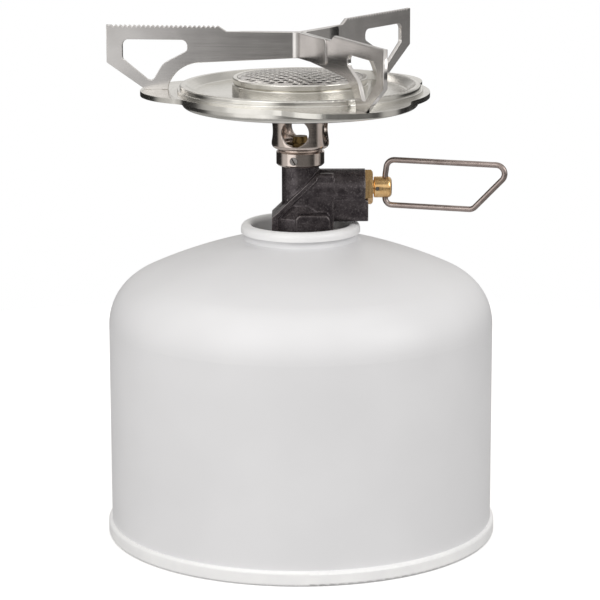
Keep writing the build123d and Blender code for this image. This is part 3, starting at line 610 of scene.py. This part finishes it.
@dataclass
class MixingTube:
    """Jet, clamp ring and the tube that draws in air."""

    edge_mm: float = 0.15

    def build(self) -> None:
        """Make the tube and the ring, and dress the rest."""
        tube = eased("mixing_tube", self.edge_mm, "mixing_tube_drawn", flat=False)
        ready(tube, TURNED_STEEL, "stove", "tube_steel", "mixing_tube")
        carried("clamp_ring", TURNED_STEEL)
        carried("ring_screw", SPRING_STEEL)
        carried("jet", BRASS_STAINED)


@dataclass
class Burner:
    """Bowl, plate, cup, perforated dome and baffle."""

    plate_edge_mm: float = 0.25
    mesh_r: float = 17.33  # outer radius of the dome
    land_r: float = 17.1  # plain rim outside this radius
    mesh_z: float = 130.0
    crown: float = 1.25
    pitch: float = 2.6  # between holes, staggered in rows
    hole_r: float = 0.95
    sheet: float = 0.28
    edge_slack: float = 0.02  # a cell that reaches in less than this is left out

    def build(self) -> None:
        """Make the plate and the perforated dome, and dress the rest."""
        plate = eased("burner_plate", self.plate_edge_mm, "burner_plate_pressed")
        ready(plate, PRESSED_STEEL, "stove", "pan_steel", "burner_plate")
        carried("burner_bowl", PRESSED_STEEL)
        carried("burner_cup", BRIGHT_RING)
        # The baffle is dark partly from heat browning and partly as painted shade for the hollow seen
        # through the dome's holes.
        carried("gas_baffle", HEAT_BROWNED_AND_SHADED_STEEL)
        ready(self.dome(), PERFORATED_STEEL, "stove", "mesh_steel", "burner_mesh")

    def height(self, r: float) -> float:
        """Height of the dome's top at a radius, in mm."""
        ball = (self.mesh_r**2 + self.crown**2) / (2 * self.crown)
        return self.mesh_z + self.crown - ball + sqrt(ball**2 - r**2)

    @staticmethod
    def round_of(cx: float, cy: float, radius: float, count: int) -> list[tuple[float, float]]:
        """Points evenly round a centre, the first one 30 degrees up from its right.

        Args:
            cx: The centre's first coordinate.
            cy: The centre's second coordinate.
            radius: From the centre to each point.
            count: How many points.

        Returns:
            The points.
        """
        turns = [radians(360 // count * k + 30) for k in range(count)]
        return [(cx + radius * cos(turn), cy + radius * sin(turn)) for turn in turns]

    def dome(self) -> bpy.types.Object:
        """Punch the dome's staggered holes as real openings, each in the middle of a six-sided cell.

        Returns:
            The new piece.
        """
        shape = bmesh.new()
        known: dict[tuple[int, int], bmesh.types.BMVert] = {}

        def at(x: float, y: float) -> bmesh.types.BMVert:
            """Give the vertex at a place, held inside the dome's edge.

            Args:
                x: First coordinate, in mm.
                y: Second coordinate, in mm.

            Returns:
                The one vertex at that place.
            """
            reach = sqrt(x * x + y * y)
            if reach > self.mesh_r:
                x, y, reach = x * self.mesh_r / reach, y * self.mesh_r / reach, self.mesh_r
            key = (round(x / JOIN_MM), round(y / JOIN_MM))
            if key not in known:
                known[key] = shape.verts.new((x * MM, y * MM, self.height(reach) * MM))
            return known[key]

        side = self.pitch / sqrt(3)
        row_pitch = self.pitch * sqrt(3) / 2
        rows = int(self.mesh_r / row_pitch) + 2
        for row in range(-rows, rows + 1):
            for column in range(-rows - 1, rows + 2):
                cx, cy = (column + 0.5 * (row % 2)) * self.pitch, row * row_pitch
                corners = self.round_of(cx, cy, side, 6)
                if min(sqrt(x * x + y * y) for x, y in corners) > self.mesh_r - self.edge_slack:
                    continue
                cell = []
                for (x, y), (nx, ny) in zip(corners, corners[1:] + corners[:1]):
                    cell += [(x, y), ((x + nx) / 2, (y + ny) / 2)]
                ring = [at(x, y) for x, y in cell]
                if sqrt(cx * cx + cy * cy) < self.land_r - self.hole_r:
                    hole = [at(x, y) for x, y in self.round_of(cx, cy, self.hole_r, len(ring))]
                    for k in range(len(ring)):
                        m = (k + 1) % len(ring)
                        shape.faces.new((ring[k], ring[m], hole[m], hole[k]))
                else:
                    unique = list(dict.fromkeys(ring))
                    if len(unique) > 2:
                        shape.faces.new(unique)
        mesh = bpy.data.meshes.new("dome_perforated")
        shape.to_mesh(mesh)
        shape.free()
        piece = shown(mesh, "dome_perforated")
        thick = piece.modifiers.new("sheet", "SOLIDIFY")
        thick.thickness = self.sheet * MM
        thick.offset = -1.0
        return settled(piece)


@dataclass
class PotSupport:
    """Three stamped arms that hold a pot, each with a leaf bent onto the next.

    Sizes are in mm: radius from the stove's axis, and height above the burner plate.
    """

    sheet: float = 1.2
    edge: float = 0.14  # rounded edge of the stamping
    edge_steps: int = 2
    join: float = 0.001  # points of the blank nearer than this are one
    on_cut: float = 0.0001  # points nearer a cut than this are on it
    inner_bend: float = 2.4
    bend_steps: int = 14
    round_steps: int = 5
    reach: float = 54.1
    top: float = 17.9
    bridge_top: float = 16.4
    bridge_low: float = 9.3
    leaf_reach: float = 18.0
    leaf_round: float = 1.2
    leaf_taper: float = 6.0  # the leaf's end is pressed thin over this length
    leaf_thin: float = 0.3
    taper_slack: float = 0.01  # a point less than this past the start of the taper isn't tilted
    tooth_pitch: float = 1.3
    tooth_width: float = 0.95
    tooth_depth: float = 0.5
    tooth_land: float = 1.5
    step_in: float = 20.4
    step_out: float = 22.7
    foot: tuple[tuple[float, float], ...] = (
        (36.9, 0.0), (38.6, 0.0), (38.6, -1.8), (41.7, -1.8), (41.7, 0.0), (43.3, 0.0), (54.1, 7.4),
    )
    arch: tuple[tuple[float, float], ...] = ((28.0, 7.65), (33.9, 5.35), (36.7, 1.4))
    window: tuple[tuple[float, float, float], ...] = (  # each corner with the radius of its round
        (31.4, 13.95, 1.7), (49.6, 13.95, 1.7), (49.6, 8.5, 1.4),
        (41.5, 1.95, 1.4), (38.3, 7.3, 4.5), (31.4, 10.95, 1.2),
    )

    def build(self) -> None:
        """Make each arm with its own grain."""
        for name, turn in ARM_TURNS.items():
            arm = self.arm(f"arm_{name}_stamped", turn)
            ready(arm, brushed(turn, name), "stove", "arm_steel", f"pot_arm_{name}")

    def root(self) -> float:
        """Where the bend starts, from the axis."""
        return (self.inner_bend + self.sheet) / sqrt(3)

    def middle_bend(self) -> float:
        """Radius of the bend in the middle of the sheet."""
        return self.inner_bend + self.sheet / 2

    def leaf_end(self) -> float:
        """End of the leaf, measured along the flat blank."""
        return self.root() - self.middle_bend() * pi / 3 - (self.leaf_reach - self.root())

    def outline(self) -> list[tuple[float, float]]:
        """Cut the blank's outline.

        Returns:
            Points along the flat blank and up it.
        """
        end, low, high = self.leaf_end(), self.bridge_low, self.bridge_top
        turns = [radians(90 / self.round_steps * k) for k in range(1, self.round_steps + 1)]
        curl = self.leaf_round
        line = [(end + curl * (1 - cos(turn)), low + curl * (1 - sin(turn))) for turn in turns]
        line += [(0.0, low), self.arch[0], *arc(*self.arch), *self.foot, (self.reach, self.top)]
        start = self.reach - self.tooth_land
        for number in range(int((start - self.step_out) / self.tooth_pitch)):
            r = start - number * self.tooth_pitch
            line += [
                (r, self.top),
                (r - self.tooth_width / 2, self.top - self.tooth_depth),
                (r - self.tooth_width, self.top),
            ]
        line += [(self.step_out, self.top), (self.step_in, high), (0.0, high), (end + curl, high)]
        line += [(end + curl * (1 - sin(turn)), high - curl * (1 - cos(turn))) for turn in turns[:-1]]
        return line + [(end, high - curl), (end, low + curl)]

    def bent(self, along: float, across: float) -> tuple[float, float]:
        """Wrap a place on the flat blank round the bend.

        Args:
            along: Distance along the blank from the axis.
            across: Distance through the sheet.

        Returns:
            Its place seen from above, with the arm along the first axis.
        """
        root, centre = self.root(), self.inner_bend + self.sheet
        if along >= root:
            return along, across
        radius = centre - across
        turn = min((root - along) / self.middle_bend(), pi / 3)
        over = root - along - turn * self.middle_bend()
        return (
            root - radius * sin(turn) - over * cos(turn),
            centre - radius * cos(turn) + over * sin(turn),
        )

    def arm(self, name: str, turn: float) -> bpy.types.Object:
        """Stamp, bend and place one arm.

        Args:
            name: The piece's name.
            turn: Degrees from +X that it points.

        Returns:
            The new piece.
        """
        curve = bpy.data.curves.new(name, "CURVE")
        curve.dimensions = "2D"
        curve.fill_mode = "BOTH"
        curve.extrude = (self.sheet / 2 - self.edge) * MM
        curve.bevel_depth = self.edge * MM
        curve.bevel_resolution = self.edge_steps
        curve.offset = -self.edge * MM
        for line in (self.outline(), rounded(list(self.window))):
            spline = curve.splines.new("POLY")
            spline.points.add(len(line) - 1)
            for point, (x, y) in zip(spline.points, line):
                point.co = (x * MM, y * MM, 0.0, 1.0)
            spline.use_cyclic_u = True
        blank = bpy.data.objects.new(name, curve)
        bpy.context.scene.collection.objects.link(blank)
        bpy.context.view_layer.update()
        seen = blank.evaluated_get(bpy.context.evaluated_depsgraph_get())
        mesh = bpy.data.meshes.new_from_object(seen)
        bpy.data.objects.remove(blank)
        shape = bmesh.new()
        shape.from_mesh(mesh)
        bmesh.ops.remove_doubles(shape, verts=shape.verts, dist=self.join * MM)
        length = self.middle_bend() * pi / 3
        taper_from = self.leaf_end() + self.leaf_taper
        slope = (self.sheet - self.leaf_thin) / self.leaf_taper
        cuts = [self.root() - length * step / self.bend_steps for step in range(self.bend_steps + 1)]
        for cut in (*cuts, taper_from):
            everything = shape.verts[:] + shape.edges[:] + shape.faces[:]
            bmesh.ops.bisect_plane(
                shape, geom=everything, dist=self.on_cut * MM,
                plane_co=(cut * MM, 0.0, 0.0), plane_no=(1.0, 0.0, 0.0),
            )
        bmesh.ops.recalc_face_normals(shape, faces=shape.faces)
        shape.normal_update()
        flat = [face for face in shape.faces if abs(face.normal.z) > FLAT_NORMAL]
        side = {vert: face.normal.z for face in flat for vert in face.verts}
        around = Matrix.Rotation(radians(turn), 3, "Z")
        normals = []
        for vert in shape.verts:
            along, across = vert.co.x / MM, self.sheet / 2 + vert.co.z / MM
            over = max(taper_from - along, 0.0)
            across *= 1.0 - over * slope / self.sheet
            near, far = (Vector((*self.bent(along, across + step), 0.0)) for step in (0.0, 1.0))
            beyond = Vector((*self.bent(along - 1.0, across), 0.0))
            tilt = slope if over > self.taper_slack and side.get(vert, 0.0) > 0.0 else 0.0
            normals.append(around @ (far - near + tilt * (beyond - near)) * side.get(vert, 0.0))
            vert.co = around @ Vector((near.x * MM, near.y * MM, vert.co.y + PLATE_TOP * MM))
        bmesh.ops.reverse_faces(shape, faces=shape.faces)
        shape.to_mesh(mesh)
        shape.free()
        mesh.shade_smooth()
        mesh.normals_split_custom_set_from_vertices(normals)
        return shown(mesh, name)


# ---------------------------------------------------------------- studio
@dataclass(frozen=True)
class Glow:
    """A soft light in the room round the object, seen only in what it lights.

    Turn is degrees from straight in front towards the right, rise is degrees up, and spread is
    degrees from its middle to where it has faded out. Power below nought is a dark screen.
    """

    turn: float
    rise: float
    spread: float
    power: float
    core: float = 0.45  # share of the spread that is at full power

    def way(self) -> tuple[float, float, float]:
        """Direction to the light's middle."""
        flat = cos(radians(self.rise))
        return (flat * sin(radians(self.turn)), -flat * cos(radians(self.turn)), sin(radians(self.rise)))


@dataclass(frozen=True)
class Lamp:
    """A square soft lamp that faces the stove. Sizes are in metres, and power is in watts."""

    name: str
    at: tuple[float, float, float]
    size: float
    power: float


@dataclass
class Studio:
    """Pale floor, soft lights and the camera. Sizes are in metres, and angles in degrees."""

    camera_at: tuple[float, float, float] = (-0.0002, -0.760, 0.237)
    pitch_down: float = 12.64
    roll: float = -0.15
    lens: float = 165.7
    floor_r: float = 0.3
    sky: float = 0.85  # light from above the horizon
    dim: float = 0.05  # and from below it, between the glows
    horizon: tuple[float, float] = (-0.1, 0.12)  # heights between which the one fades into the other
    paper_glow: float = 0.35  # keeps the floor as pale as the room behind it
    lamps: tuple[Lamp, ...] = (
        Lamp("key", (-0.55, -0.75, 0.75), 0.5, 1.75),
        Lamp("side", (0.8, -0.45, 0.6), 0.5, 2.7),
        Lamp("card", (-0.24, -0.26, 0.09), 0.28, 0.15),
    )
    lamps_aim: tuple[float, float, float] = (0.0, 0.0, 0.1)
    glows: tuple[Glow, ...] = (
        Glow(-63.0, -14.0, 46.0, 0.6),
        Glow(2.0, -14.0, 58.0, 0.11),
        Glow(92.0, -14.0, 25.0, 0.55),
        Glow(120.0, 22.0, 40.0, -0.4),
        Glow(-133.0, 14.0, 42.0, -0.6),
    )

    def build(self) -> None:
        """Set up floor, room, lights and camera."""
        self._floor()
        self._room()
        for lamp in self.lamps:
            self._hang(lamp)
        self._camera()
        scene = bpy.context.scene
        scene.view_settings.view_transform = "Standard"
        scene.view_settings.look = "None"

    def _floor(self) -> None:
        """Lay a round pale floor."""
        shape = bmesh.new()
        bmesh.ops.create_circle(shape, cap_ends=True, segments=128, radius=self.floor_r)
        mesh = bpy.data.meshes.new("floor")
        shape.to_mesh(mesh)
        shape.free()
        floor = shown(mesh, "floor")
        made = bpy.data.materials.new("floor_paper_white")
        made.use_nodes = True
        tree = made.node_tree
        tree.nodes.clear()
        paper = node(tree, "ShaderNodeBsdfPrincipled", links={
            "Base Color": linear("f4f4f4"), "Roughness": 0.9,
            "Emission Color": linear("ffffff"), "Emission Strength": self.paper_glow,
        })
        grey = node(tree, "ShaderNodeBsdfDiffuse", links={"Color": linear("b4b4b4")})
        seen = node(tree, "ShaderNodeLightPath").outputs["Is Camera Ray"]
        both = node(tree, "ShaderNodeMixShader", links={0: seen, 1: grey.outputs[0], 2: paper.outputs[0]})
        node(tree, "ShaderNodeOutputMaterial", links={"Surface": both.outputs[0]})
        mesh.materials.append(made)

    def _room(self) -> None:
        """Light the room: white behind the object, and soft glows where it is mirrored."""
        world = bpy.data.worlds.new("room")
        bpy.context.scene.world = world
        world.use_nodes = True
        tree = world.node_tree
        tree.nodes.clear()
        way = node(tree, "ShaderNodeTexCoord").outputs["Generated"]
        up = node(tree, "ShaderNodeSeparateXYZ", links={0: way}).outputs["Z"]
        total = node(tree, "ShaderNodeMapRange", {"interpolation_type": "SMOOTHSTEP"}, {
            "Value": up, "From Min": self.horizon[0], "From Max": self.horizon[1],
            "To Min": self.dim, "To Max": self.sky,
        }).outputs[0]
        for glow in self.glows:
            near = node(tree, "ShaderNodeVectorMath", {"operation": "DOT_PRODUCT"}, {
                0: way, 1: glow.way(),
            })
            light = node(tree, "ShaderNodeMapRange", {"interpolation_type": "SMOOTHSTEP"}, {
                "Value": near.outputs["Value"], "From Min": cos(radians(glow.spread)),
                "From Max": cos(radians(glow.spread * glow.core)), "To Max": glow.power,
            })
            total = node(tree, "ShaderNodeMath", {"operation": "ADD"}, {
                0: light.outputs[0], 1: total,
            }).outputs[0]
        total = node(tree, "ShaderNodeMath", {"operation": "MAXIMUM"}, {
            0: total, 1: self.dim / 2,
        }).outputs[0]
        lit = node(tree, "ShaderNodeBackground", links={"Color": linear("fffdfa"), "Strength": total})
        plain = node(tree, "ShaderNodeBackground", links={"Color": linear("ffffff"), "Strength": 1.0})
        seen = node(tree, "ShaderNodeLightPath").outputs["Is Camera Ray"]
        both = node(tree, "ShaderNodeMixShader", links={0: seen, 1: lit.outputs[0], 2: plain.outputs[0]})
        node(tree, "ShaderNodeOutputWorld", links={"Surface": both.outputs[0]})

    def _hang(self, lamp: Lamp) -> None:
        """Hang a lamp and turn it to the stove.

        Args:
            lamp: The lamp.
        """
        data = bpy.data.lights.new(lamp.name, "AREA")
        data.shape = "SQUARE"
        data.size = lamp.size
        data.energy = lamp.power
        made = bpy.data.objects.new(lamp.name, data)
        bpy.context.scene.collection.objects.link(made)
        made.location = lamp.at
        made.visible_camera = False
        aim = Vector(self.lamps_aim) - Vector(lamp.at)
        made.rotation_euler = aim.to_track_quat("-Z", "Y").to_euler()

    def _camera(self) -> None:
        """Place the camera."""
        data = bpy.data.cameras.new("camera")
        data.lens = self.lens
        data.sensor_width = 36.0
        data.clip_start = 0.05
        camera = bpy.data.objects.new("camera", data)
        bpy.context.scene.collection.objects.link(camera)
        tilt = Matrix.Rotation(pi / 2 - radians(self.pitch_down), 4, "X")
        spin = Matrix.Rotation(radians(self.roll), 4, "Z")
        camera.matrix_world = Matrix.Translation(self.camera_at) @ tilt @ spin
        bpy.context.scene.camera = camera


def write_sizes() -> None:
    """Update the view layer."""
    bpy.context.view_layer.update()


def main() -> None:
    """Build every sub-assembly and the studio."""
    logging.basicConfig(level=logging.INFO, format="%(name)s %(message)s")
    stove = (ValveBlock(), FlameControl(), MixingTube(), Burner(), PotSupport())
    for part in (Canister(), *stove, Studio()):
        LOG.info("building %s", type(part).__name__)
        part.build()
    write_sizes()


if __name__ == "__main__":
    main()
